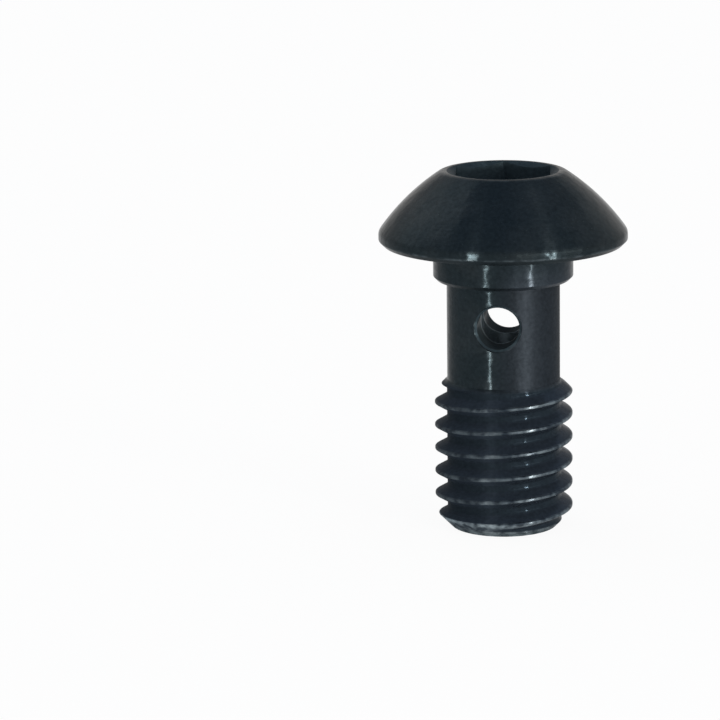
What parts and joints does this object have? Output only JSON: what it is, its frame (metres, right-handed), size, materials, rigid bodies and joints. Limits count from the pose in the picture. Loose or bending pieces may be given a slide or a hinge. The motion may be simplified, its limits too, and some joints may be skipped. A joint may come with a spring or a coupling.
{
  "type": "banjo bolt",
  "caption": "Button-head banjo bolt with a hex socket, a plain collar, a slim neck with a cross hole, and a threaded end with an axial fluid bore.",
  "frame": {"origin": "on the bolt's axis in the seat plane, the flat under the head that bears on the sealing washer", "axes": "+Z along the bolt's axis towards the head; -Y is the front, which one mouth of the cross hole faces to within about 8 degrees; +X is to the right seen from the front"},
  "size_m": [0.0106, 0.0106, 0.0154],
  "materials": {
    "black_anodised_aluminium": "satin black anodised"
  },
  "bodies": {
    "root": {"banjo_bolt": "black_anodised_aluminium"}
  },
  "joints": []
}
